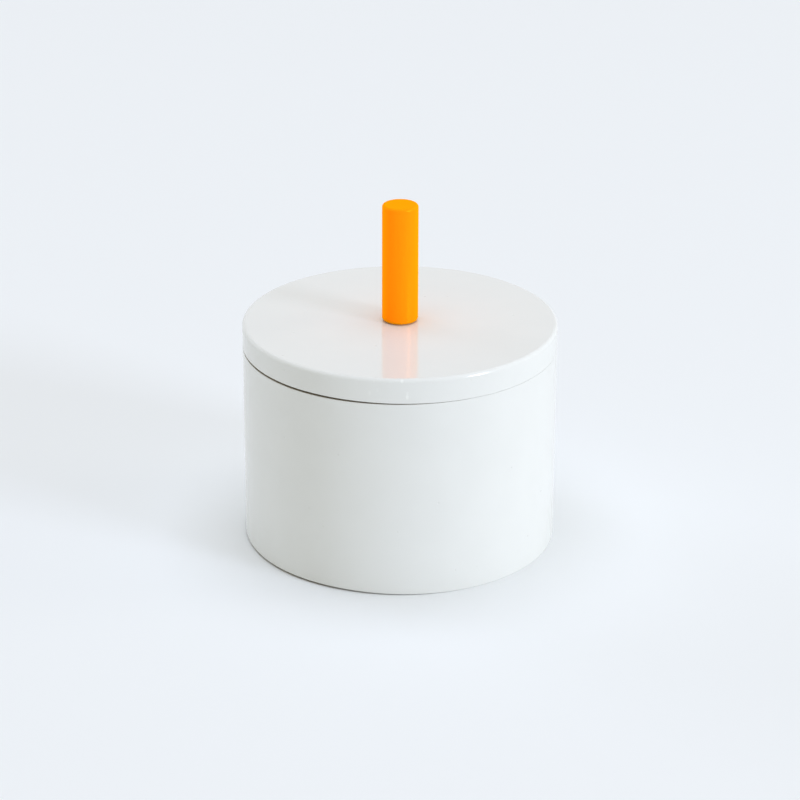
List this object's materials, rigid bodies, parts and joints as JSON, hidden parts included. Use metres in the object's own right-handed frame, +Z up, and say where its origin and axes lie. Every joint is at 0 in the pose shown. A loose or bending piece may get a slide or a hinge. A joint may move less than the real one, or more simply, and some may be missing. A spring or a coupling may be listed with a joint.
{
  "type": "lidded ceramic box",
  "caption": "Round straight-walled glazed stoneware box with a flush flat lid and a slim upright lacquered peg as its handle, for keeping small things.",
  "frame": {"origin": "centre of the foot ring, on the surface that the box stands on", "axes": "+Z up along the axis of the jar and its handle; -Y towards the viewer of the picture"},
  "size_m": [0.105, 0.105, 0.1165],
  "materials": {
    "white_glaze": "glossy white glaze on stoneware, bare clay at the rim and foot",
    "orange_lacquer": "glossy orange lacquer on a turned wooden dowel",
    "turned_brass": "turned",
    "plated_steel": "zinc plated",
    "soft_rubber": "matt"
  },
  "bodies": {
    "jar": {"jar": "white_glaze"},
    "handle_set": {"handle": "orange_lacquer", "handle_insert": "turned_brass", "handle_screw": "plated_steel", "screw_washer": "plated_steel"},
    "lid": {"lid": "white_glaze", "cushion_washer": "soft_rubber"}
  },
  "joints": [
    {"name": "lid_lift", "type": "slide", "parent": "jar", "child": "handle_set", "axis": [0, 0, 1], "range_m": [0, 0.12]},
    {"name": "lid_turn", "type": "hinge", "parent": "handle_set", "child": "lid", "pos_m": [0, 0, 0.076], "axis": [0, 0, 1], "continuous": true}
  ]
}
